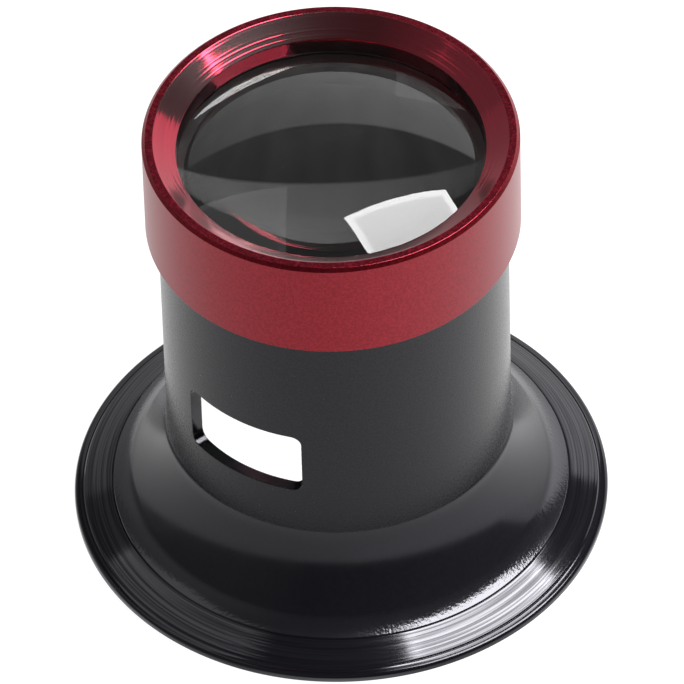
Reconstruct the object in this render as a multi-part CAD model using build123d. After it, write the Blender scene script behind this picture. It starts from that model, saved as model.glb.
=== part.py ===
"""Eye loupe of the kind that a watchmaker holds in the eye socket, in millimetres.

A black turned eyecup carries a red head ring on a fine thread. The head ring holds one thick
lens, which a slotted retaining ring clamps against the ring's lip from inside.
The origin is at the centre of the eyecup's rim, +Z runs up the optical axis, and the window in
the barrel faces -Y.
"""
from build123d import *

import os
from math import atan2, cos, degrees, radians, sin, sqrt, tan

# ---- eyecup and barrel: one turned piece --------------------------------------------------
BARREL_RADIUS = 14.0
WALL = 1.0                    # thickness of the barrel and of the flare
RIM_RADIUS = 21.84            # outer edge of the eyecup
FLARE_TOP = 9.3               # height where the straight barrel ends
FLARE_FILLET = 4.5            # radius of the fillet below the barrel
FLARE_CURVE = 14.0            # radius of the long hollow between the two fillets
BRIM_FILLET = 4.5             # radius of the fillet above the brim
BRIM_SLOPE = 22.0             # degrees below horizontal
CREASE_RADIUS = 18.6          # fine groove where the cup meets the brim
CREASE_HEIGHT = 1.83
CREASE_WIDTH = 0.16
CREASE_DEPTH = 0.08
BEAD_RADIUS = 21.0            # groove that sets off the bead along the rim
BEAD_GROOVE_WIDTH = 0.2
BEAD_GROOVE_DEPTH = 0.05
BEAD_ROUND = 0.36             # radius of the bead's shoulder
RIM_CHAMFER = 0.1

# ---- window in the barrel wall ------------------------------------------------------------
WINDOW_LOW = 13.9
WINDOW_HIGH = 19.9
WINDOW_ANGLE = 44.8           # degrees, seen from the axis
WINDOW_CORNER = 0.85

# ---- screw joint between the barrel and the head ring -------------------------------------
SHOULDER = 31.0               # height of the face that the head ring screws down on to
BARREL_TOP = 33.7
STOP_RADIUS = 12.0            # narrower bore inside the thread
STOP_BOTTOM = 29.6
THREAD_PITCH = 0.75
THREAD_CORE = 13.15
THREAD_CREST = 13.55
THREAD_RELIEF = 0.5
THREAD_CLEARANCE = 0.1        # radial play between the male and the female thread
THREAD_CHAMFER = 0.35
FLANK_ANGLE = 30.0
CREST_WIDTH = 0.1
RIDGE_OVERLAP = 0.05          # how deep a ridge's foot runs into the wall that carries it
RIDGE_END = 0.06              # how far short of a ring's faces its ridge stops

# ---- head ring ----------------------------------------------------------------------------
TOTAL_HEIGHT = 40.24
HEAD_RADIUS = 15.0
HEAD_TOP_CHAMFER = 0.28
HEAD_BOTTOM_CHAMFER = 0.15
RIM_FLAT_INNER = 14.12
CONE_BOTTOM_RADIUS = 12.3
CONE_BOTTOM = 39.0
LIP_RADIUS = 12.2
POCKET_RADIUS = 12.56
HEAD_BORE_TOP = 33.85         # end of the threaded bore that takes the barrel

# ---- lens and retaining ring --------------------------------------------------------------
LENS_RADIUS = 12.5
LENS_BEVEL = 0.15
LENS_APEX = 40.2
LENS_CURVE = 31.0             # radius of curvature of the outer face
LENS_BACK = 35.0              # height of the flat face
SEAT_GAP = 0.03               # play where the lip and the retaining ring bear on the lens
RING_BORE = 11.2
RING_HEIGHT = 0.95
RING_PITCH = 0.5
RING_CORE = 12.7
RING_CREST = 12.9
RING_SEAT_TOP = 35.1          # end of the threaded bore that takes the retaining ring
SLOT_WIDTH = 1.2
SLOT_DEPTH = 0.5


def xz(radius, height):
    """Point of a half section."""
    return (radius, 0, height)


def sag(curve, radius):
    """Depth of a sphere of radius curve at a distance radius from its axis."""
    return curve - sqrt(curve**2 - radius**2)


def turned(*edges):
    """Solid of revolution about Z from a closed half section."""
    return revolve(make_face(list(edges)), Axis.Z, 360)


def turned_polygon(*points):
    """Solid of revolution about Z from the corners of a half section."""
    return turned(Polyline(*[xz(*point) for point in points], close=True))


def tube(inner, outer, low, high):
    """Plain ring between two radii and two heights."""
    return turned_polygon((inner, low), (outer, low), (outer, high), (inner, high))


def line_through(*points):
    """Open run of straight edges through points of a half section."""
    return Polyline(*[xz(*point) for point in points])


def helical_ridge(foot, tip, pitch, low, high):
    """Right-hand thread ridge: its foot is at one radius and its narrow tip at another."""
    half_tip = CREST_WIDTH / 2
    half_foot = half_tip + abs(tip - foot) * tan(radians(FLANK_ANGLE))
    section = Polyline(
        xz(foot, low - half_foot),
        xz(tip, low - half_tip),
        xz(tip, low + half_tip),
        xz(foot, low + half_foot),
        close=True,
    )
    path = Helix(pitch, high - low, foot, center=(0, 0, low))
    return sweep(make_face(section), path=path, is_frenet=True)


def flare_centres():
    """Centres of the three tangent arcs of the flare, from the barrel down to the crease."""
    upper = (BARREL_RADIUS + FLARE_FILLET, FLARE_TOP)
    slope = radians(90 - BRIM_SLOPE)
    lower = (CREASE_RADIUS + BRIM_FILLET * cos(slope), CREASE_HEIGHT + BRIM_FILLET * sin(slope))
    to_upper = FLARE_CURVE - FLARE_FILLET
    to_lower = FLARE_CURVE - BRIM_FILLET
    across = upper[0] - lower[0]
    up = upper[1] - lower[1]
    between = sqrt(across**2 + up**2)
    along = (to_lower**2 - to_upper**2 + between**2) / (2 * between)
    aside = sqrt(to_lower**2 - along**2)
    middle = (
        lower[0] + (across * along + up * aside) / between,
        lower[1] + (up * along - across * aside) / between,
    )
    return upper, middle, lower


def join_angle(centre, next_centre):
    """Angle of the surface normal where the arcs round two centres meet."""
    return degrees(atan2(centre[1] - next_centre[1], centre[0] - next_centre[0]))


def fillet_arc(centre, radius, start, end):
    """Arc of a concave fillet, from one angle of its surface normal to another."""

    def at(angle):
        return xz(centre[0] - radius * cos(radians(angle)), centre[1] - radius * sin(radians(angle)))

    return ThreePointArc(at(start), at((start + end) / 2), at(end))


def flare_side(offset):
    """Flare from the barrel down to the crease, moved inwards by offset."""
    upper, middle, lower = flare_centres()
    high_join = join_angle(middle, upper)
    low_join = join_angle(middle, lower)
    top = fillet_arc(upper, FLARE_FILLET + offset, 0, high_join)
    hollow = fillet_arc(middle, FLARE_CURVE + offset, high_join, low_join)
    bottom = fillet_arc(lower, BRIM_FILLET + offset, low_join, 90 - BRIM_SLOPE)
    return top, hollow, bottom


def brim_height(radius):
    """Height of the brim's upper face."""
    return CREASE_HEIGHT - (radius - CREASE_RADIUS) * tan(radians(BRIM_SLOPE))


def make_eyecup_barrel():
    """Flared eyecup, barrel with its window, and the male thread on top."""
    bore = BARREL_RADIUS - WALL
    outer_top, outer_hollow, outer_bottom = flare_side(0)
    inner_top, inner_hollow, inner_bottom = flare_side(WALL)
    inner_end = inner_bottom @ 1
    flat_inner = inner_end.X + inner_end.Z / tan(radians(BRIM_SLOPE))

    crease_bottom = CREASE_RADIUS + CREASE_WIDTH / 2
    crease_end = CREASE_RADIUS + CREASE_WIDTH
    bead_bottom = BEAD_RADIUS + BEAD_GROOVE_WIDTH / 2
    bead_start = BEAD_RADIUS + BEAD_GROOVE_WIDTH
    shoulder_radius = RIM_RADIUS - BEAD_ROUND
    shoulder_height = brim_height(shoulder_radius) + BEAD_GROOVE_DEPTH / 2
    brim = line_through(
        (CREASE_RADIUS, CREASE_HEIGHT),
        (crease_bottom, brim_height(crease_bottom) - CREASE_DEPTH),
        (crease_end, brim_height(crease_end)),
        (BEAD_RADIUS, brim_height(BEAD_RADIUS)),
        (bead_bottom, brim_height(bead_bottom) - BEAD_GROOVE_DEPTH),
        (bead_start, brim_height(bead_start)),
        (shoulder_radius, shoulder_height),
    )
    bead = TangentArc(
        xz(shoulder_radius, shoulder_height),
        xz(RIM_RADIUS, shoulder_height - BEAD_ROUND),
        tangent=(1, 0, 0),
    )
    edge = line_through(
        (RIM_RADIUS, shoulder_height - BEAD_ROUND),
        (RIM_RADIUS, RIM_CHAMFER),
        (RIM_RADIUS - RIM_CHAMFER, 0),
        (flat_inner, 0),
        (inner_end.X, inner_end.Z),
    )
    barrel = line_through(
        (bore, FLARE_TOP),
        (bore, STOP_BOTTOM),
        (STOP_RADIUS, STOP_BOTTOM),
        (STOP_RADIUS, BARREL_TOP),
        (THREAD_CORE, BARREL_TOP),
        (THREAD_CORE, SHOULDER),
        (BARREL_RADIUS, SHOULDER),
        (BARREL_RADIUS, FLARE_TOP),
    )
    outside = (outer_top, outer_hollow, outer_bottom, brim, bead)
    inside = (inner_bottom, inner_hollow, inner_top)
    body = turned(*outside, edge, *inside, barrel)
    ridge = helical_ridge(
        THREAD_CORE - RIDGE_OVERLAP,
        THREAD_CREST,
        THREAD_PITCH,
        SHOULDER - THREAD_PITCH,
        BARREL_TOP + THREAD_PITCH,
    )
    threaded_length = turned_polygon(
        (STOP_RADIUS, SHOULDER + THREAD_RELIEF),
        (THREAD_CREST + THREAD_CLEARANCE, SHOULDER + THREAD_RELIEF),
        (THREAD_CREST + THREAD_CLEARANCE, BARREL_TOP - THREAD_CHAMFER - THREAD_CLEARANCE),
        (THREAD_CREST - THREAD_CHAMFER, BARREL_TOP),
        (STOP_RADIUS, BARREL_TOP),
    )
    return body + (ridge & threaded_length) - make_window()


def make_window():
    """Block that cuts the window: its ends point at the axis and its corners are rounded."""
    slab = Polyline(
        xz(BARREL_RADIUS - 2 * WALL, WINDOW_LOW),
        xz(BARREL_RADIUS + WALL, WINDOW_LOW),
        xz(BARREL_RADIUS + WALL, WINDOW_HIGH),
        xz(BARREL_RADIUS - 2 * WALL, WINDOW_HIGH),
        close=True,
    )
    block = revolve(make_face(slab), Axis.Z, WINDOW_ANGLE)
    radial_edges = block.edges().filter_by(GeomType.LINE).filter_by(Axis.Z, reverse=True)
    block = fillet(radial_edges, WINDOW_CORNER)
    return Rot(0, 0, -90 - WINDOW_ANGLE / 2) * block


def make_head_ring():
    """Red ring with the cone round the lens, the lens pocket and two female threads."""
    lip_bottom = LENS_APEX - sag(LENS_CURVE, LIP_RADIUS) + SEAT_GAP
    bore = THREAD_CREST + THREAD_CLEARANCE
    ring_bore = RING_CREST + THREAD_CLEARANCE / 2
    body = turned_polygon(
        (bore + THREAD_CLEARANCE, SHOULDER),
        (HEAD_RADIUS - HEAD_BOTTOM_CHAMFER, SHOULDER),
        (HEAD_RADIUS, SHOULDER + HEAD_BOTTOM_CHAMFER),
        (HEAD_RADIUS, TOTAL_HEIGHT - HEAD_TOP_CHAMFER),
        (HEAD_RADIUS - HEAD_TOP_CHAMFER, TOTAL_HEIGHT),
        (RIM_FLAT_INNER, TOTAL_HEIGHT),
        (CONE_BOTTOM_RADIUS, CONE_BOTTOM),
        (LIP_RADIUS, CONE_BOTTOM - THREAD_CLEARANCE),
        (LIP_RADIUS, lip_bottom),
        (POCKET_RADIUS, lip_bottom),
        (POCKET_RADIUS, RING_SEAT_TOP),
        (ring_bore, RING_SEAT_TOP),
        (ring_bore, HEAD_BORE_TOP),
        (bore, HEAD_BORE_TOP),
        (bore, SHOULDER + THREAD_CLEARANCE),
    )
    female_start = SHOULDER - THREAD_PITCH / 2
    ridge = helical_ridge(
        bore + RIDGE_OVERLAP,
        THREAD_CORE + THREAD_CLEARANCE,
        THREAD_PITCH,
        female_start,
        HEAD_BORE_TOP + THREAD_PITCH,
    )
    threaded_length = turned_polygon(
        (THREAD_CORE, SHOULDER + THREAD_CHAMFER),
        (bore + 2 * RIDGE_OVERLAP, SHOULDER),
        (bore + 2 * RIDGE_OVERLAP, HEAD_BORE_TOP),
        (THREAD_CORE, HEAD_BORE_TOP),
    )
    ring_ridge = helical_ridge(
        ring_bore + RIDGE_OVERLAP,
        RING_CORE + RIDGE_OVERLAP,
        RING_PITCH,
        ring_bottom() - RING_PITCH,
        RING_SEAT_TOP + RING_PITCH,
    )
    ring_length = tube(
        RING_BORE, ring_bore + 2 * RIDGE_OVERLAP, HEAD_BORE_TOP + RIDGE_END, RING_SEAT_TOP - RIDGE_END
    )
    return body + (ridge & threaded_length) + (ring_ridge & ring_length)


def make_magnifier_lens():
    """Thick plano-convex lens, curved face outwards."""
    bevel_start = LENS_RADIUS - LENS_BEVEL
    rim = LENS_APEX - sag(LENS_CURVE, bevel_start)
    middle = bevel_start / 2
    face = ThreePointArc(
        xz(bevel_start, rim), xz(middle, LENS_APEX - sag(LENS_CURVE, middle)), xz(0, LENS_APEX)
    )
    edge = line_through(
        (0, LENS_APEX),
        (0, LENS_BACK),
        (bevel_start, LENS_BACK),
        (LENS_RADIUS, LENS_BACK + LENS_BEVEL),
        (LENS_RADIUS, rim - LENS_BEVEL),
        (bevel_start, rim),
    )
    return turned(face, edge)


def ring_top():
    """Upper face of the retaining ring, just clear of the lens."""
    return LENS_BACK - SEAT_GAP


def ring_bottom():
    """Underside of the retaining ring."""
    return ring_top() - RING_HEIGHT


def make_retaining_ring():
    """Threaded ring with two spanner slots, screwed in behind the lens."""
    low = ring_bottom()
    high = ring_top()
    body = tube(RING_BORE, RING_CORE, low, high)
    ridge = helical_ridge(
        RING_CORE - RIDGE_OVERLAP, RING_CREST, RING_PITCH, low - RING_PITCH / 2, high + RING_PITCH
    )
    threaded_length = tube(RING_BORE, RING_CREST + WALL, low + RIDGE_END, high - RIDGE_END)
    slot = Pos(0, 0, low) * Box(4 * RING_CREST, SLOT_WIDTH, 2 * SLOT_DEPTH)
    return body + (ridge & threaded_length) - slot


PIECES = {
    "eyecup_barrel": make_eyecup_barrel,
    "head_ring": make_head_ring,
    "magnifier_lens": make_magnifier_lens,
    "retaining_ring": make_retaining_ring,
}

os.makedirs("parts", exist_ok=True)
for node, make in PIECES.items():
    piece = make()
    piece.label = node
    export_step(piece, f"parts/{node}.step")
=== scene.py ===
import math
import random

import bmesh
import bpy
from mathutils import Matrix, Vector


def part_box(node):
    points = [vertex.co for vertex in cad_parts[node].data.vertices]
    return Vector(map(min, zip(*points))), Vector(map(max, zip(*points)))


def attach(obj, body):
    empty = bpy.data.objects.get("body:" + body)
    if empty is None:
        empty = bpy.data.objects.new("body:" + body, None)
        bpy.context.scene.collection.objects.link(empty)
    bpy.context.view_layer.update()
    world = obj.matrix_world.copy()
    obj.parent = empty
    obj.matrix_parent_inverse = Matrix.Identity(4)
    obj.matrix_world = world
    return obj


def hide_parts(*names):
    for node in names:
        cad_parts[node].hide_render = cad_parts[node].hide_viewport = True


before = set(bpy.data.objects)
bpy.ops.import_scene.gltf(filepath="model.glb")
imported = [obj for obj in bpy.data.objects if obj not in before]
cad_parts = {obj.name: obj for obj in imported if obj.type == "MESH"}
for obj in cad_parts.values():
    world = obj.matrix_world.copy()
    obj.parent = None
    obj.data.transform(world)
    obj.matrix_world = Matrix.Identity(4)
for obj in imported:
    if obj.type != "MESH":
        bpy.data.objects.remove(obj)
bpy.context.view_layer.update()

MM = 0.001

# ---- sizes that come from the CAD parts in model.glb, in millimetres ----------------------
_, barrel_high = (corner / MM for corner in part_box("eyecup_barrel"))
head_low, head_high = (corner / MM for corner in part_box("head_ring"))
lens_low, lens_high = (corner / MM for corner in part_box("magnifier_lens"))
RIM_RADIUS = barrel_high.x
BARREL_TOP = barrel_high.z
HEAD_RADIUS = head_high.x
SHOULDER = head_low.z
TOTAL_HEIGHT = head_high.z
LENS_RADIUS = lens_high.x
LENS_BACK = lens_low.z
LENS_APEX = lens_high.z

# ---- eyecup and barrel, in millimetres ----------------------------------------------------
SEGMENTS = 360                # of every turned piece: one to a degree
BARREL_RADIUS = 14.0
WALL = 1.0
BORE = BARREL_RADIUS - WALL
FLARE_TOP = 9.3
FLARE_FILLET = 4.5
FLARE_CURVE = 14.0            # the long hollow between the two fillets
BRIM_FILLET = 4.5
BRIM_SLOPE = math.radians(22)
CREASE_RADIUS = 18.6
CREASE_HEIGHT = 1.83
CREASE_WIDTH = 0.16
CREASE_DEPTH = 0.08
BEAD_RADIUS = 21.0
BEAD_GROOVE_WIDTH = 0.2
BEAD_GROOVE_DEPTH = 0.05
BEAD_ROUND = 0.36
RIM_CHAMFER = 0.1
EDGE_ROUND = 0.05             # broken edge on every other corner
FINE_ROUND = 0.02             # broken edge of the brim's grooves and foot
BEND_STEPS = 4                # facets across a broken edge
BESIDE = 0.3                  # where the point beside a broken edge lies, as a share of its size
BEAD_STEPS = 8                # facets of the bead and of the flare's three arcs
BRIM_FILLET_STEPS = 12
FLARE_CURVE_STEPS = 12
FLARE_FILLET_STEPS = 8
STOP_RADIUS = 12.0
STOP_BOTTOM = 29.6

# ---- turning marks that are cut into the brim and into the cone round the lens ------------
MARK_STEP = 0.04              # spacing of the points across the marks
MARK_FADE = 0.5               # share of a mark's depth that carries on to the next point
# the steepest flank of an ordinary mark, that of a deep mark, and the share of deep marks
BRIM_MARKS = (0.012, 0.09, 0.12)
CONE_MARKS = (0.012, 0.16, 0.13)
BRIM_SEED = 7
CONE_SEED = 11

# ---- window -------------------------------------------------------------------------------
WINDOW_LOW = 13.9
WINDOW_HIGH = 19.9
WINDOW_ANGLE = 44.8           # degrees
WINDOW_CORNER = 0.85
WINDOW_FACING = 270           # degrees from +X
PATCH_MARGIN = 1.5            # mesh round the window that is laid out to follow its outline
PATCH_RINGS = 6
PATCH_ROWS = 24
CORNER_STEPS = 5              # points on each half of a window corner

# ---- threads ------------------------------------------------------------------------------
THREAD_PITCH = 0.75
THREAD_CORE = 13.15
THREAD_CREST = 13.55
THREAD_CLEARANCE = 0.1
THREAD_CHAMFER = 0.35
FLANK = math.tan(math.radians(30))
CREST_WIDTH = 0.1
RIDGE_OVERLAP = 0.05
RIDGE_RUNOUT = 50             # degrees over which a thread rises to its full depth
RIDGE_STEP = 4                # degrees

# ---- head ring ----------------------------------------------------------------------------
HEAD_TOP_CHAMFER = 0.28
HEAD_BOTTOM_CHAMFER = 0.15
RIM_FLAT_INNER = 14.12
CONE_BOTTOM_RADIUS = 12.3
CONE_BOTTOM = 39.0
LIP_RADIUS = 12.2
POCKET_RADIUS = 12.56
HEAD_BORE_TOP = 33.85
RING_BORE_RADIUS = 12.95
RING_SEAT_TOP = 35.1
HEAD_ROUND = 0.03             # broken edges outside
CONE_ROUND = 0.04             # broken edges at the two ends of the cone

# ---- lens ---------------------------------------------------------------------------------
LENS_CURVE = 31.0
LENS_BEVEL = 0.15
LENS_RINGS = 48               # of facets on each face
LENS_SHARP = 15               # degrees between facets from which an edge is sharp
SEAT_GAP = 0.03

# ---- camera: elevation, distance and lens put the object in the photograph's perspective ---
CAMERA_AZIMUTH = 35.3         # degrees from -Y towards +X
CAMERA_ELEVATION = 45.55
CAMERA_ROLL = -1.74
CAMERA_DISTANCE = 808.55 * MM
CAMERA_TARGET = Vector((0, 0, 20 * MM))
CAMERA_FOCAL = 528.6          # mm
SENSOR_WIDTH = 36             # mm
CAMERA_CLIP = (0.01, 20)      # m
AIM_YAW = -0.0286             # degrees that the aim is off the target
AIM_PITCH = -0.1561

# ---- studio -------------------------------------------------------------------------------
FLOOR_SIZE = 8                # m
FLOOR_SPREAD = (-20, 40)      # mm to the camera's right over which the floor's painted glow gets brighter
# painted light: emission strength of the floor, which glows by itself, from its left to its right
FLOOR_PAINTED_GLOW = (0.97, 1.35)
WALL_SLOPE = 0.81             # tangent of the wall's height seen from the object, straight behind
WALL_EDGE = 0.012
WALL_SPREAD = (-0.6, 0.6)     # directions, from left to right, over which the wall gets brighter
WALL_LIGHT = (0.36, 1.4)
ROOM_SPREAD = (-0.8, -0.3)    # the same for the room above the wall, which gets darker
ROOM_LIGHT = (0.28, 0.08)
BORDER = (0.41, 0.45)         # where a softbox's brighter border starts, in shares of its size
BORDER_LIGHT = (0.92, 1.25)   # brightness of its middle and of its border

# ---- patterns -----------------------------------------------------------------------------
COOL = (0.93, 0.92, 1.0, 1)   # the oxide's faint cool sheen
CELL = 0.5                    # size of a spot, as a share of a noise texture's cell
NOISE_RANGE = (0.3, 0.7)      # where nearly all values of a noise texture lie
CRISP = (0.35, 0.65)          # a narrower range, which gives spots with a clear edge


def studio(x, y, z):
    """Point or direction given with X to the camera's right and Y away from it."""
    turn = Matrix.Rotation(math.radians(CAMERA_AZIMUTH), 3, "Z")
    return turn @ Vector((x, y, z))


def make_camera():
    """Camera that was fitted to the outlines in the photograph."""
    elevation = math.radians(CAMERA_ELEVATION)
    away = studio(0, -math.cos(elevation), math.sin(elevation))
    right = studio(1, 0, 0)
    up = away.cross(right)
    forward = -away
    yaw, pitch, roll = (math.radians(a) for a in (AIM_YAW, AIM_PITCH, CAMERA_ROLL))
    aim = forward * math.cos(yaw) - right * math.sin(yaw)
    right = right * math.cos(yaw) + forward * math.sin(yaw)
    forward = aim * math.cos(pitch) + up * math.sin(pitch)
    up = up * math.cos(pitch) - aim * math.sin(pitch)
    side = right * math.cos(roll) + up * math.sin(roll)
    top = up * math.cos(roll) - right * math.sin(roll)
    data = bpy.data.cameras.new("photo_camera")
    data.lens = CAMERA_FOCAL
    data.sensor_width = SENSOR_WIDTH
    data.clip_start, data.clip_end = CAMERA_CLIP
    camera = bpy.data.objects.new("photo_camera", data)
    basis = Matrix((side, top, -forward)).transposed()
    camera.matrix_world = Matrix.Translation(CAMERA_TARGET + away * CAMERA_DISTANCE) @ basis.to_4x4()
    bpy.context.scene.collection.objects.link(camera)
    bpy.context.scene.camera = camera


# ---- materials ----------------------------------------------------------------------------


class Finish:
    """A Principled material with short calls for the nodes that pattern a turned piece."""

    def __init__(self, name, **sockets):
        self.material = bpy.data.materials.new(name)
        self.material.use_nodes = True
        self.tree = self.material.node_tree
        self.shader = self.tree.nodes["Principled BSDF"]
        for socket, value in sockets.items():
            self.shader.inputs[socket.replace("_", " ")].default_value = value
        self.place = self.node("ShaderNodeTexCoord").outputs["Object"]
        split = self.node("ShaderNodeSeparateXYZ")
        self.link(self.place, split.inputs[0])
        self.x, self.y, self.height = split.outputs
        self.radius = self.math("SQRT", self.math("ADD", self.squared(self.x), self.squared(self.y)))

    def node(self, kind, **settings):
        made = self.tree.nodes.new(kind)
        for setting, value in settings.items():
            setattr(made, setting, value)
        return made

    def link(self, source, socket):
        self.tree.links.new(source, socket)

    def feed(self, value, socket):
        if isinstance(value, (int, float)):
            socket.default_value = value
        else:
            self.link(value, socket)

    def math(self, operation, *values):
        made = self.node("ShaderNodeMath", operation=operation)
        for value, socket in zip(values, made.inputs):
            self.feed(value, socket)
        return made.outputs[0]

    def squared(self, value):
        return self.math("MULTIPLY", value, value)

    def vector(self, x, y, z):
        made = self.node("ShaderNodeCombineXYZ")
        for value, socket in zip((x, y, z), made.inputs):
            self.feed(value, socket)
        return made.outputs[0]

    def span(self, value, low, high, start=0.0, end=1.0, smooth=True):
        """Map value from low..high to start..end, clamped."""
        made = self.node("ShaderNodeMapRange")
        made.interpolation_type = "SMOOTHSTEP" if smooth else "LINEAR"
        self.link(value, made.inputs["Value"])
        for socket, number in (("From Min", low), ("From Max", high), ("To Min", start), ("To Max", end)):
            made.inputs[socket].default_value = number
        return made.outputs[0]

    def noise(self, vector, scale, detail=2.0):
        made = self.node("ShaderNodeTexNoise")
        self.link(vector, made.inputs["Vector"])
        made.inputs["Scale"].default_value = scale
        made.inputs["Detail"].default_value = detail
        return made.outputs["Fac"]

    def grain(self, size, detail=2.0):
        """Blasted grain with spots of about size millimetres."""
        return self.noise(self.place, CELL / (size * MM), detail)

    def around(self, along, size, stretch):
        """Noise on the turned surface: size millimetres across `along`, stretch times that round it."""
        across = CELL / (size * MM)
        round_scale = across / stretch
        x = self.math("MULTIPLY", self.x, round_scale)
        y = self.math("MULTIPLY", self.y, round_scale)
        return self.noise(self.vector(x, y, self.math("MULTIPLY", along, across)), 1.0)

    def bump(self, height, depth):
        """Add a relief of depth micrometres; calls stack up."""
        made = self.node("ShaderNodeBump")
        made.inputs["Distance"].default_value = depth * MM * MM
        self.link(height, made.inputs["Height"])
        earlier = self.shader.inputs["Normal"].links
        if earlier:
            self.link(earlier[0].from_socket, made.inputs["Normal"])
        self.link(made.outputs[0], self.shader.inputs["Normal"])

    def colour(self, dark, light, factor):
        """Base colour between two colours."""
        ramp = self.node("ShaderNodeMix", data_type="RGBA")
        self.link(factor, ramp.inputs["Factor"])
        ramp.inputs["A"].default_value = (*dark, 1)
        ramp.inputs["B"].default_value = (*light, 1)
        self.link(ramp.outputs["Result"], self.shader.inputs["Base Color"])

    def rough(self, low, high, factor):
        """Roughness that follows a noise texture."""
        self.link(self.span(factor, *NOISE_RANGE, low, high, False), self.shader.inputs["Roughness"])

    def specular(self, level):
        self.link(level, self.shader.inputs["Specular IOR Level"])


def satin_black():
    """Blasted and anodised barrel."""
    finish = Finish("satin_black", Specular_IOR_Level=0.25, Specular_Tint=COOL)
    spots = finish.grain(size=0.1)
    finish.colour(
        dark=(0.0012, 0.0011, 0.0028),
        light=(0.0075, 0.0073, 0.0105),
        factor=finish.span(spots, *CRISP),
    )
    finish.rough(low=0.23, high=0.3, factor=spots)
    finish.bump(spots, depth=10.0)
    finish.bump(finish.grain(size=0.3), depth=2.0)
    return finish.material


def polished_black():
    """Flare: turned smoother than the barrel, with tool chatter just above the crease."""
    finish = Finish("polished_black", Specular_Tint=COOL)
    finish.colour(
        dark=(0.008, 0.008, 0.011),
        light=(0.013, 0.013, 0.017),
        factor=finish.grain(size=0.2),
    )
    finish.rough(low=0.13, high=0.17, factor=finish.grain(size=1.5))
    finish.bump(finish.around(finish.height, size=0.12, stretch=60), depth=0.35)
    finish.bump(finish.grain(size=0.12), depth=1.2)
    near_crease = finish.span(finish.radius, 16.9 * MM, 17.6 * MM)
    finish.specular(finish.span(near_crease, 0, 1, 0.29, 0.9))
    chatter = finish.around(finish.height, size=0.9, stretch=0.13)
    finish.bump(finish.math("MULTIPLY", near_crease, chatter), depth=18.0)
    return finish.material


def brim_black():
    """Brim: fine concentric turning lines, bright where they catch the light."""
    finish = Finish("brim_black", Specular_Tint=COOL)
    lines = finish.around(finish.radius, size=0.07, stretch=120)
    finish.specular(finish.span(lines, *CRISP, 0.32, 0.95))
    finish.colour(
        dark=(0.005, 0.005, 0.0075),
        light=(0.009, 0.009, 0.012),
        factor=lines,
    )
    finish.rough(low=0.07, high=0.12, factor=finish.around(finish.radius, size=0.2, stretch=40))
    finish.bump(lines, depth=0.6)
    finish.bump(finish.grain(size=0.1), depth=0.25)
    return finish.material


def matt_black():
    """Inside of the loupe: dull, with coarse boring marks that keep stray light down."""
    finish = Finish("matt_black")
    finish.colour(
        dark=(0.004, 0.004, 0.004),
        light=(0.009, 0.009, 0.009),
        factor=finish.grain(size=0.3),
    )
    finish.rough(low=0.55, high=0.7, factor=finish.grain(size=0.8))
    finish.bump(finish.around(finish.height, size=0.15, stretch=80), depth=2.0)
    return finish.material


def satin_red():
    """Side of the head ring: blasted and dyed red."""
    finish = Finish("satin_red", Metallic=1.0, Coat_Weight=0.27, Coat_Roughness=0.3, Coat_IOR=1.5)
    spots = finish.grain(size=0.1)
    finish.colour(
        dark=(0.17, 0.004, 0.010),
        light=(0.24, 0.008, 0.018),
        factor=finish.span(spots, *CRISP),
    )
    finish.rough(low=0.36, high=0.42, factor=spots)
    finish.bump(spots, depth=5.0)
    finish.bump(finish.grain(size=0.3), depth=1.4)
    return finish.material


def sparkling_red():
    """Flat on top of the head ring: coarse facets, some of which glint."""
    finish = Finish("sparkling_red", Metallic=1.0, Coat_Weight=0.5, Coat_Roughness=0.15)
    spots = finish.grain(size=0.09, detail=3.0)
    finish.colour(
        dark=(0.20, 0.006, 0.018),
        light=(0.40, 0.016, 0.04),
        factor=finish.span(spots, 0.4, 0.65),
    )
    finish.rough(low=0.22, high=0.3, factor=finish.grain(size=0.3))
    finish.bump(spots, depth=14.0)
    return finish.material


def turned_red():
    """Cone round the lens: bright, with turning lines."""
    finish = Finish("turned_red", Metallic=1.0, Coat_Weight=0.6, Coat_Roughness=0.34)
    lines = finish.around(finish.radius, size=0.09, stretch=70)
    finish.colour(
        dark=(0.30, 0.014, 0.032),
        light=(0.42, 0.024, 0.05),
        factor=lines,
    )
    finish.rough(low=0.07, high=0.11, factor=finish.around(finish.radius, size=0.25, stretch=30))
    finish.bump(lines, depth=0.5)
    finish.bump(finish.grain(size=0.12), depth=0.3)
    return finish.material


def milled_black():
    """Cut faces of the window."""
    finish = Finish("milled_black", Specular_Tint=COOL)
    finish.colour(
        dark=(0.003, 0.003, 0.004),
        light=(0.007, 0.007, 0.008),
        factor=finish.grain(size=0.2),
    )
    finish.rough(low=0.16, high=0.26, factor=finish.grain(size=0.6))
    finish.bump(finish.around(finish.height, size=0.1, stretch=3), depth=0.8)
    return finish.material


def optical_glass():
    """Clear lens with a polish that is only just uneven."""
    finish = Finish("optical_glass", Base_Color=(1, 1, 1, 1), Transmission_Weight=1.0, IOR=1.52)
    finish.rough(low=0.0, high=0.004, factor=finish.grain(size=2.0))
    return finish.material


def floor_white():
    """Table top that glows by its own emission, with no lamp behind it: painted light, brighter to the
    camera's right, which also fills in the shadows on it.
    """
    finish = Finish(
        "floor_white", Base_Color=(0.12, 0.12, 0.12, 1), Emission_Color=(1, 1, 1, 1), Roughness=0.9
    )
    right = studio(1, 0, 0)
    along_x = finish.math("MULTIPLY", finish.x, right.x)
    along_y = finish.math("MULTIPLY", finish.y, right.y)
    low, high = (edge * MM for edge in FLOOR_SPREAD)
    # painted light: the floor's emission grows towards the camera's right
    painted_glow = finish.span(finish.math("ADD", along_x, along_y), low, high, *FLOOR_PAINTED_GLOW)
    finish.link(painted_glow, finish.shader.inputs["Emission Strength"])
    return finish.material


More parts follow.
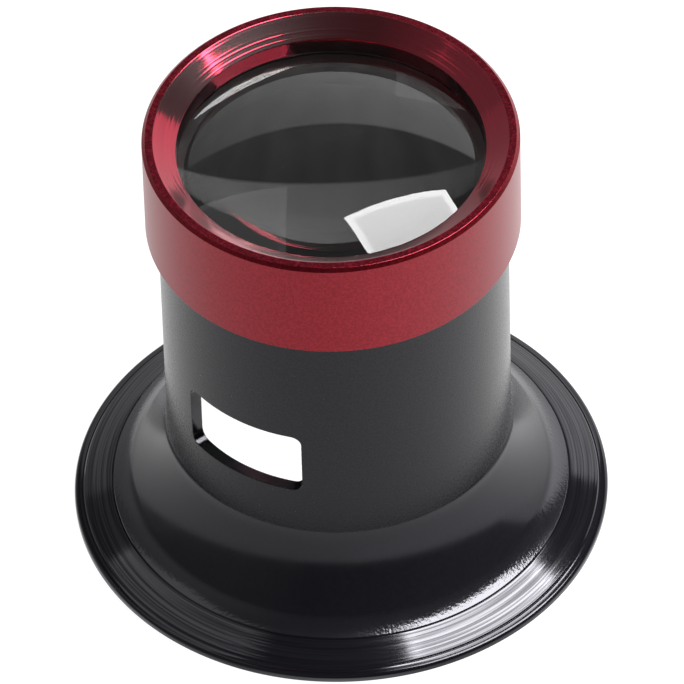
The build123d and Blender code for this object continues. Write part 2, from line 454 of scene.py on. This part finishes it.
# ---- turned pieces ------------------------------------------------------------------------


def sag(radius):
    """Depth of the lens's curved face at a distance radius from its axis."""
    return LENS_CURVE - math.sqrt(LENS_CURVE**2 - radius**2)


def brim_height(radius):
    """Height of the brim's upper face."""
    return CREASE_HEIGHT - (radius - CREASE_RADIUS) * math.tan(BRIM_SLOPE)


def arc(centre, radius, start, end, steps):
    """Points of an arc between two angles in degrees, both ends included."""
    angles = (math.radians(start + (end - start) * i / steps) for i in range(steps + 1))
    return [(centre[0] + radius * math.cos(a), centre[1] + radius * math.sin(a)) for a in angles]


def broken(before, corner, after, size=EDGE_ROUND):
    """Round off a corner of an outline, with a point beside each end to keep the flats flat."""
    corner = Vector(corner)
    to_before = (Vector(before) - corner).normalized()
    to_after = (Vector(after) - corner).normalized()
    start = corner + to_before * size
    end = corner + to_after * size
    shares = [i / BEND_STEPS for i in range(BEND_STEPS + 1)]
    bend = [start.lerp(corner, t).lerp(corner.lerp(end, t), t) for t in shares]
    beside = size * BESIDE
    return [tuple(p) for p in (start + to_before * beside, *bend, end + to_after * beside)]


def softened(points, size=EDGE_ROUND):
    """Outline with its inner corners broken; the two end points stay."""
    result = [points[0]]
    for before, corner, after in zip(points, points[1:], points[2:]):
        result += broken(before, corner, after, size)
    return result + [points[-1]]


def marked(start, end, marks, seed):
    """Straight cut between two points with fine turning marks across it."""
    ordinary_slope, deep_slope, deep_share = marks
    rng = random.Random(seed)
    start = Vector(start)
    end = Vector(end)
    steps = round((end - start).length / MARK_STEP)
    along = (end - start) / steps
    away = Vector((-along.y, along.x)).normalized()
    points = [start]
    depth = 0.0
    for i in range(1, steps):
        slope = deep_slope if rng.random() < deep_share else ordinary_slope
        depth = MARK_FADE * depth + rng.uniform(-1, 1) * MARK_STEP * slope
        points.append(start + along * i - away * abs(depth))
    return [tuple(p) for p in points + [end]]


class Turning:
    """Mesh of one turned piece, built row by row from a closed outline of (radius, height)."""

    def __init__(self):
        self.points = []
        self.faces = []
        self.zones = []

    def point(self, radius, angle, height):
        """Add a point at an angle in degrees and return its number."""
        a = math.radians(angle)
        self.points.append((radius * MM * math.cos(a), radius * MM * math.sin(a), height * MM))
        return len(self.points) - 1

    def row(self, radius, height):
        """Points right round the axis, or the same point over and over on the axis itself."""
        if radius == 0:
            return [self.point(0, 0, height)] * SEGMENTS
        return [self.point(radius, k, height) for k in range(SEGMENTS)]

    def face(self, corners, zone):
        """Face with repeated corners left out."""
        corners = list(dict.fromkeys(corners))
        if len(corners) > 2:
            self.faces.append(corners)
            self.zones.append(zone)

    def band(self, low, high, zone, skip=()):
        """Faces between two rows or loops of the same length."""
        for k in range(len(low)):
            if k not in skip:
                after = (k + 1) % len(low)
                self.face((low[k], low[after], high[after], high[k]), zone)

    def outline(self, sections, skips=None):
        """Turn sections, each a zone and its points; return the rows by their (radius, height)."""
        rows = []
        for zone, points in sections:
            for place in points:
                if rows and rows[-1][0] == place:
                    rows[-1] = (place, rows[-1][1], zone)
                else:
                    rows.append((place, self.row(*place), zone))
        if rows[0][0] == rows[-1][0]:
            rows.pop()
        for i, (place, row, zone) in enumerate(rows):
            after_place, after_row, _ = rows[(i + 1) % len(rows)]
            skip = skips(place, after_place) if skips else ()
            self.band(row, after_row, zone, skip=skip)
        return {place: row for place, row, _ in rows}

    def ridge(self, foot, tip, pitch, phase, low, high, zone):
        """Helical thread ridge from one height to another that runs out at both ends."""
        turns = (high - low) / pitch
        steps = round(turns * 360 / RIDGE_STEP)
        inner = foot - math.copysign(RIDGE_OVERLAP, tip - foot)
        rings = []
        for i in range(steps + 1):
            turned = i * RIDGE_STEP
            height = low + pitch * turned / 360
            angle = 360 * (height - phase) / pitch
            rise = min(1.0, turned / RIDGE_RUNOUT, (steps - i) * RIDGE_STEP / RIDGE_RUNOUT)
            crest = foot + (tip - foot) * rise
            half_tip = CREST_WIDTH / 2
            half_foot = half_tip + abs(crest - foot) * FLANK
            section = (
                (inner, -half_foot), (foot, -half_foot), (crest, -half_tip),
                (crest, half_tip), (foot, half_foot), (inner, half_foot),
            )
            rings.append([self.point(r, angle, height + z) for r, z in section])
        for low_ring, high_ring in zip(rings, rings[1:]):
            self.band(low_ring, high_ring, zone)
        self.face(rings[0], zone)
        self.face(rings[-1], zone)

    def finish(self, name, materials, sharp=25):
        """Object whose materials go by zone; an edge is sharp from that many degrees."""
        mesh = bpy.data.meshes.new(name)
        mesh.from_pydata(self.points, [], self.faces)
        zone_names = list(materials)
        for material in materials.values():
            mesh.materials.append(material)
        mesh.polygons.foreach_set("material_index", [zone_names.index(z) for z in self.zones])
        work = bmesh.new()
        work.from_mesh(mesh)
        bmesh.ops.recalc_face_normals(work, faces=work.faces)
        work.to_mesh(mesh)
        work.free()
        mesh.polygons.foreach_set("use_smooth", [True] * len(mesh.polygons))
        mesh.set_sharp_from_angle(angle=math.radians(sharp))
        piece = bpy.data.objects.new(name, mesh)
        bpy.context.scene.collection.objects.link(piece)
        return piece


# ---- window in the barrel -----------------------------------------------------------------


def patch_size():
    """Half width in whole degrees, and the two heights, of the mesh laid round the window."""
    half = math.ceil(WINDOW_ANGLE / 2 + math.degrees(PATCH_MARGIN / BARREL_RADIUS))
    return half, WINDOW_LOW - PATCH_MARGIN, WINDOW_HIGH + PATCH_MARGIN


def patch_heights():
    """Heights of the patch's rows."""
    _, low, high = patch_size()
    return [low + (high - low) * i / PATCH_ROWS for i in range(PATCH_ROWS + 1)]


def corner_points(angle, height, turn, radius, directions):
    """Points of a rounded window corner, as (angle, height), in directions given in degrees."""
    return [
        (angle + turn * math.cos(math.radians(d)), height + radius * math.sin(math.radians(d)))
        for d in directions
    ]


def window_outline(grow, columns, rows):
    """Rounded outline as (angle, height), counter-clockwise from the lower left corner."""
    half = WINDOW_ANGLE / 2 + math.degrees(grow / BARREL_RADIUS)
    bottom = WINDOW_LOW - grow
    top = WINDOW_HIGH + grow
    corner = WINDOW_CORNER + grow
    turn = math.degrees(corner / BARREL_RADIUS)
    centres = [
        (-half + turn, bottom + corner, 225), (half - turn, bottom + corner, 315),
        (half - turn, top - corner, 45), (-half + turn, top - corner, 135),
    ]
    points = []
    for side, count in enumerate((columns, rows, columns, rows)):
        angle, height, middle = centres[side]
        next_angle, next_height, next_middle = centres[(side + 1) % 4]
        quarter = [45 * i / CORNER_STEPS for i in range(CORNER_STEPS + 1)]
        leaving = corner_points(angle, height, turn, corner, [middle + q for q in quarter])
        reaching = corner_points(
            next_angle, next_height, turn, corner, [next_middle - q for q in reversed(quarter)]
        )
        straight = count - 2 * CORNER_STEPS
        start, end = leaving[-1], reaching[0]
        between = [
            tuple(low + (high - low) * i / straight for low, high in zip(start, end))
            for i in range(1, straight)
        ]
        points += leaving + between + reaching[:-1]
    return points


def window_loop(rows, radius):
    """Numbers of the points round the patch's edge, in the order of window_outline."""
    half, _, _ = patch_size()
    heights = patch_heights()
    columns = [(WINDOW_FACING + c) % SEGMENTS for c in range(-half, half + 1)]
    ladder = [rows[(radius, height)] for height in heights]
    bottom = [ladder[0][c] for c in columns]
    right = [row[columns[-1]] for row in ladder]
    top = [ladder[-1][c] for c in reversed(columns)]
    left = [row[columns[0]] for row in reversed(ladder)]
    return bottom[:-1] + right[:-1] + top[:-1] + left[:-1]


def window_patch(turning, rows, radius, zone):
    """Skin round the window at one radius; returns the loop along the window's edge."""
    half, low, high = patch_size()
    columns = 2 * half
    edge = window_loop(rows, radius)
    places = [(-half + i, low) for i in range(columns)]
    places += [(half, low + (high - low) * i / PATCH_ROWS) for i in range(PATCH_ROWS)]
    places += [(half - i, high) for i in range(columns)]
    places += [(-half, high - (high - low) * i / PATCH_ROWS) for i in range(PATCH_ROWS)]
    outline = window_outline(EDGE_ROUND, columns, PATCH_ROWS)
    loop = edge
    for ring in range(1, PATCH_RINGS + 1):
        t = ring / PATCH_RINGS
        inner = [
            turning.point(radius, WINDOW_FACING + a + (b - a) * t, z + (w - z) * t)
            for (a, z), (b, w) in zip(places, outline)
        ]
        turning.band(loop, inner, zone)
        loop = inner
    return loop


def cut_window(turning, rows):
    """Patches on both faces of the barrel wall and the window's own walls between them."""
    half, _, _ = patch_size()
    outline = window_outline(0, 2 * half, PATCH_ROWS)
    loop = window_patch(turning, rows, BARREL_RADIUS, "satin")
    outside = [BARREL_RADIUS - EDGE_ROUND, BARREL_RADIUS - 2 * EDGE_ROUND]
    inside = [BORE + 2 * EDGE_ROUND, BORE + EDGE_ROUND]
    for radius in outside + inside:
        inner = [turning.point(radius, WINDOW_FACING + a, z) for a, z in outline]
        turning.band(loop, inner, "cut")
        loop = inner
    turning.band(loop, window_patch(turning, rows, BORE, "inside"), "cut")


def in_patch(place, after):
    """Columns to leave out between two rows, where the window's patches go."""
    half, low, high = patch_size()
    on_wall = place[0] == after[0] and place[0] in (BARREL_RADIUS, BORE)
    middle = (place[1] + after[1]) / 2
    if on_wall and low < middle < high:
        return {(WINDOW_FACING + c) % SEGMENTS for c in range(-half, half)}
    return ()


# ---- the pieces ---------------------------------------------------------------------------


def flare_side(offset):
    """Flare from the crease up to the barrel, moved inwards by offset: three tangent arcs."""
    upper = Vector((BARREL_RADIUS + FLARE_FILLET, FLARE_TOP))
    crease = Vector((CREASE_RADIUS, CREASE_HEIGHT))
    lower = crease + BRIM_FILLET * Vector((math.sin(BRIM_SLOPE), math.cos(BRIM_SLOPE)))
    to_upper = FLARE_CURVE - FLARE_FILLET
    to_lower = FLARE_CURVE - BRIM_FILLET
    between = upper - lower
    along = (to_lower**2 - to_upper**2 + between.length_squared) / (2 * between.length)
    outwards = Vector((between.y, -between.x)).normalized()
    centre = lower + between.normalized() * along + outwards * math.sqrt(to_lower**2 - along**2)
    low_turn = math.degrees(math.atan2(*(lower - centre).yx)) % 360
    high_turn = math.degrees(math.atan2(*(upper - centre).yx)) % 360
    crease_turn = 270 - math.degrees(BRIM_SLOPE)
    points = arc(lower, BRIM_FILLET + offset, crease_turn, low_turn, BRIM_FILLET_STEPS)
    points += arc(centre, FLARE_CURVE + offset, low_turn, high_turn, FLARE_CURVE_STEPS)[1:-1]
    return points + arc(upper, FLARE_FILLET + offset, high_turn, 180, FLARE_FILLET_STEPS)


def make_eyecup_barrel(materials):
    """Eyecup and barrel, turned in one outline that starts under the rim and runs outwards."""
    flare_out = flare_side(0)
    flare_in = flare_side(WALL)[::-1]
    inner_end = flare_in[-1]
    flat_inner = (inner_end[0] + inner_end[1] / math.tan(BRIM_SLOPE), 0.0)

    shoulder_radius = RIM_RADIUS - BEAD_ROUND
    shoulder_height = brim_height(shoulder_radius) + BEAD_GROOVE_DEPTH / 2
    bead = arc((shoulder_radius, shoulder_height - BEAD_ROUND), BEAD_ROUND, 0, 90, BEAD_STEPS)
    bead_start = (BEAD_RADIUS + BEAD_GROOVE_WIDTH, brim_height(BEAD_RADIUS + BEAD_GROOVE_WIDTH))
    bead_bottom = BEAD_RADIUS + BEAD_GROOVE_WIDTH / 2
    bead_edge = (BEAD_RADIUS, brim_height(BEAD_RADIUS))
    crease_end = (CREASE_RADIUS + CREASE_WIDTH, brim_height(CREASE_RADIUS + CREASE_WIDTH))
    crease_bottom = CREASE_RADIUS + CREASE_WIDTH / 2
    crease_start = (CREASE_RADIUS, CREASE_HEIGHT)

    foot = [flat_inner, (RIM_RADIUS - RIM_CHAMFER, 0.0), (RIM_RADIUS, RIM_CHAMFER), bead[0]]
    bead_low = (bead_bottom, brim_height(bead_bottom) - BEAD_GROOVE_DEPTH)
    bead_groove = [bead[-1], bead_start, bead_low, bead_edge]
    crease = [crease_end, (crease_bottom, brim_height(crease_bottom) - CREASE_DEPTH), crease_start]
    ladder = patch_heights()
    wall_out = [(BARREL_RADIUS, z) for z in (FLARE_TOP, *ladder)]
    wall_in = [(BORE, z) for z in (*reversed(ladder), FLARE_TOP)]
    shoulder = [
        wall_out[-1], (BARREL_RADIUS, SHOULDER), (THREAD_CORE, SHOULDER), (THREAD_CORE, BARREL_TOP),
        (STOP_RADIUS, BARREL_TOP), (STOP_RADIUS, STOP_BOTTOM), (BORE, STOP_BOTTOM), wall_in[0],
    ]
    rounded = softened(shoulder)
    top_of_wall = 1 + len(broken(*shoulder[:3]))
    turning = Turning()
    rows = turning.outline(
        [
            ("brim", softened(foot, FINE_ROUND)),
            ("brim", bead),
            ("brim", softened(bead_groove, FINE_ROUND)),
            ("brim", marked(bead_edge, crease_end, BRIM_MARKS, BRIM_SEED)),
            ("brim", softened(crease, FINE_ROUND)),
            ("flare", flare_out[:-1]),
            ("satin", wall_out),
            ("satin", rounded[:top_of_wall]),
            ("inside", rounded[top_of_wall - 1:]),
            ("inside", wall_in),
            ("inside", flare_in[1:]),
            ("inside", [flat_inner]),
        ],
        in_patch,
    )
    cut_window(turning, rows)
    turning.ridge(
        foot=THREAD_CORE, tip=THREAD_CREST, pitch=THREAD_PITCH, phase=SHOULDER,
        low=SHOULDER + THREAD_PITCH, high=BARREL_TOP - THREAD_CHAMFER, zone="satin",
    )
    return turning.finish("eyecup", materials)


def make_head(materials):
    """Head ring: side, rim and cone outside, and the lens pocket and thread inside."""
    lip_bottom = LENS_APEX - sag(LIP_RADIUS) + SEAT_GAP
    bore = THREAD_CREST + THREAD_CLEARANCE
    lead_in = (bore + THREAD_CLEARANCE, SHOULDER)
    side_low = (HEAD_RADIUS, SHOULDER + HEAD_BOTTOM_CHAMFER)
    side_high = (HEAD_RADIUS, TOTAL_HEIGHT - HEAD_TOP_CHAMFER)
    rim_outer = (HEAD_RADIUS - HEAD_TOP_CHAMFER, TOTAL_HEIGHT)
    rim_inner = (RIM_FLAT_INNER, TOTAL_HEIGHT)
    cone_bottom = (CONE_BOTTOM_RADIUS, CONE_BOTTOM)
    inner_edge = broken(rim_outer, rim_inner, cone_bottom, CONE_ROUND)
    outer_edge = broken(side_high, rim_outer, rim_inner, HEAD_ROUND)
    lip = broken(rim_inner, cone_bottom, (LIP_RADIUS, lip_bottom), CONE_ROUND)
    side = [lead_in, (HEAD_RADIUS - HEAD_BOTTOM_CHAMFER, SHOULDER), side_low, side_high]
    turning = Turning()
    turning.outline(
        [
            ("side", softened(side, HEAD_ROUND)[:-1]),
            ("side", broken(side_low, side_high, rim_outer, HEAD_ROUND)),
            ("rim", outer_edge),
            ("rim", inner_edge[:3]),
            ("cone", inner_edge[2:-1]),
            ("cone", marked(inner_edge[-1], lip[0], CONE_MARKS, CONE_SEED)),
            ("cone", lip),
            ("side", [
                (LIP_RADIUS, lip_bottom), (POCKET_RADIUS, lip_bottom), (POCKET_RADIUS, RING_SEAT_TOP),
                (RING_BORE_RADIUS, RING_SEAT_TOP), (RING_BORE_RADIUS, HEAD_BORE_TOP), (bore, HEAD_BORE_TOP),
                (bore, SHOULDER + THREAD_CLEARANCE), lead_in,
            ]),
        ]
    )
    turning.ridge(
        foot=bore, tip=THREAD_CORE + THREAD_CLEARANCE, pitch=THREAD_PITCH,
        phase=SHOULDER - THREAD_PITCH / 2, low=SHOULDER + THREAD_PITCH / 2,
        high=HEAD_BORE_TOP - THREAD_PITCH / 3, zone="side",
    )
    return turning.finish("head", materials)


def make_lens(material):
    """Plano-convex lens, curved face up."""
    bevel = LENS_RADIUS - LENS_BEVEL
    rim = LENS_APEX - sag(bevel)
    radii = [bevel * i / LENS_RINGS for i in range(LENS_RINGS + 1)]
    face = [(radius, LENS_APEX - sag(radius)) for radius in radii]
    edge = [(LENS_RADIUS, rim - LENS_BEVEL), (LENS_RADIUS, LENS_BACK + LENS_BEVEL), (bevel, LENS_BACK)]
    back = [(radius, LENS_BACK) for radius in reversed(radii[:-1])]
    turning = Turning()
    turning.outline([("glass", face + edge + back)])
    return turning.finish("lens", {"glass": material}, sharp=LENS_SHARP)


# ---- light --------------------------------------------------------------------------------


def map_range(tree, value, *limits):
    """Node that maps value from limits[0]..limits[1] to limits[2]..limits[3], clamped."""
    made = tree.nodes.new("ShaderNodeMapRange")
    tree.links.new(value, made.inputs["Value"])
    for socket, limit in zip(("From Min", "From Max", "To Min", "To Max"), limits):
        made.inputs[socket].default_value = limit
    return made.outputs[0]


def brighten_border(data):
    """Make the softbox a little brighter along its edges than in its middle."""
    data.use_nodes = True
    tree = data.node_tree
    place = tree.nodes.new("ShaderNodeNewGeometry")
    centred = tree.nodes.new("ShaderNodeVectorMath")
    centred.operation = "SUBTRACT"
    centred.inputs[1].default_value = (0.5, 0.5, 0)
    tree.links.new(place.outputs["Parametric"], centred.inputs[0])
    size = tree.nodes.new("ShaderNodeVectorMath")
    size.operation = "ABSOLUTE"
    tree.links.new(centred.outputs[0], size.inputs[0])
    split = tree.nodes.new("ShaderNodeSeparateXYZ")
    tree.links.new(size.outputs[0], split.inputs[0])
    largest = tree.nodes.new("ShaderNodeMath")
    largest.operation = "MAXIMUM"
    tree.links.new(split.outputs[0], largest.inputs[0])
    tree.links.new(split.outputs[1], largest.inputs[1])
    strength = map_range(tree, largest.outputs[0], *BORDER, *BORDER_LIGHT)
    tree.links.new(strength, tree.nodes["Emission"].inputs["Strength"])


def area_light(name, direction, side, distance, width, height, power):
    """Softbox that faces the object; its width runs along side. Directions are the studio's."""
    data = bpy.data.lights.new(name, "AREA")
    data.shape = "RECTANGLE"
    data.size = width
    data.size_y = height
    data.energy = power
    light = bpy.data.objects.new(name, data)
    back = studio(*direction).normalized()
    along = studio(*side)
    along = (along - back * along.dot(back)).normalized()
    basis = Matrix((along, back.cross(along), back)).transposed()
    light.matrix_world = Matrix.Translation(CAMERA_TARGET + back * distance) @ basis.to_4x4()
    light.visible_camera = False
    brighten_border(data)
    bpy.context.scene.collection.objects.link(light)


def make_world():
    """Dim room with a white wall low behind the object, brighter to the right."""
    world = bpy.data.worlds.new("studio")
    world.use_nodes = True
    bpy.context.scene.world = world
    tree = world.node_tree
    background = tree.nodes["Background"]
    background.inputs["Color"].default_value = (1, 1, 1, 1)
    place = tree.nodes.new("ShaderNodeTexCoord")

    def along(direction):
        made = tree.nodes.new("ShaderNodeVectorMath")
        made.operation = "DOT_PRODUCT"
        made.inputs[1].default_value = direction
        tree.links.new(place.outputs["Generated"], made.inputs[0])
        return made.outputs["Value"]

    behind = studio(0, 1, 0) * WALL_SLOPE
    right = along(studio(1, 0, 0))
    over_wall = map_range(tree, along((-behind.x, -behind.y, 1)), -WALL_EDGE, WALL_EDGE, 0, 1)
    mix = tree.nodes.new("ShaderNodeMix")
    tree.links.new(over_wall, mix.inputs["Factor"])
    tree.links.new(map_range(tree, right, *WALL_SPREAD, *WALL_LIGHT), mix.inputs["A"])
    tree.links.new(map_range(tree, right, *ROOM_SPREAD, *ROOM_LIGHT), mix.inputs["B"])
    tree.links.new(mix.outputs["Result"], background.inputs["Strength"])


def make_floor():
    """White floor, which is only there for the picture."""
    bpy.ops.mesh.primitive_plane_add(size=FLOOR_SIZE)
    floor = bpy.context.object
    floor.name = "floor"
    floor.data.materials.append(floor_white())


# ---- scene --------------------------------------------------------------------------------

make_camera()
make_world()
make_floor()
area_light(
    "softbox", direction=(0.349, 0.134, 0.824), side=(0.41, 0.224, -0.234), distance=0.905,
    width=0.49, height=0.464, power=10.2,
)
area_light(
    "fill_panel", direction=(-0.44, 0.24, 0.86), side=(0.02, 0.22, -0.05), distance=1.1,
    width=0.5, height=0.55, power=0.5,
)

matt = matt_black()
eyecup = make_eyecup_barrel({
    "satin": satin_black(),
    "flare": polished_black(),
    "brim": brim_black(),
    "inside": matt,
    "cut": milled_black(),
})
head = make_head({"side": satin_red(), "rim": sparkling_red(), "cone": turned_red()})
lens = make_lens(optical_glass())

for piece, body, node, slot in (
    (eyecup, "barrel", "eyecup_barrel", "black_anodised"),
    (head, "head", "head_ring", "red_anodised"),
    (lens, "lens_carrier", "magnifier_lens", "optical_glass"),
):
    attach(piece, body)
    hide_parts(node)

ring_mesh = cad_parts["retaining_ring"].data
ring_mesh.materials.clear()
ring_mesh.materials.append(matt)

bpy.context.scene.view_settings.view_transform = "Standard"
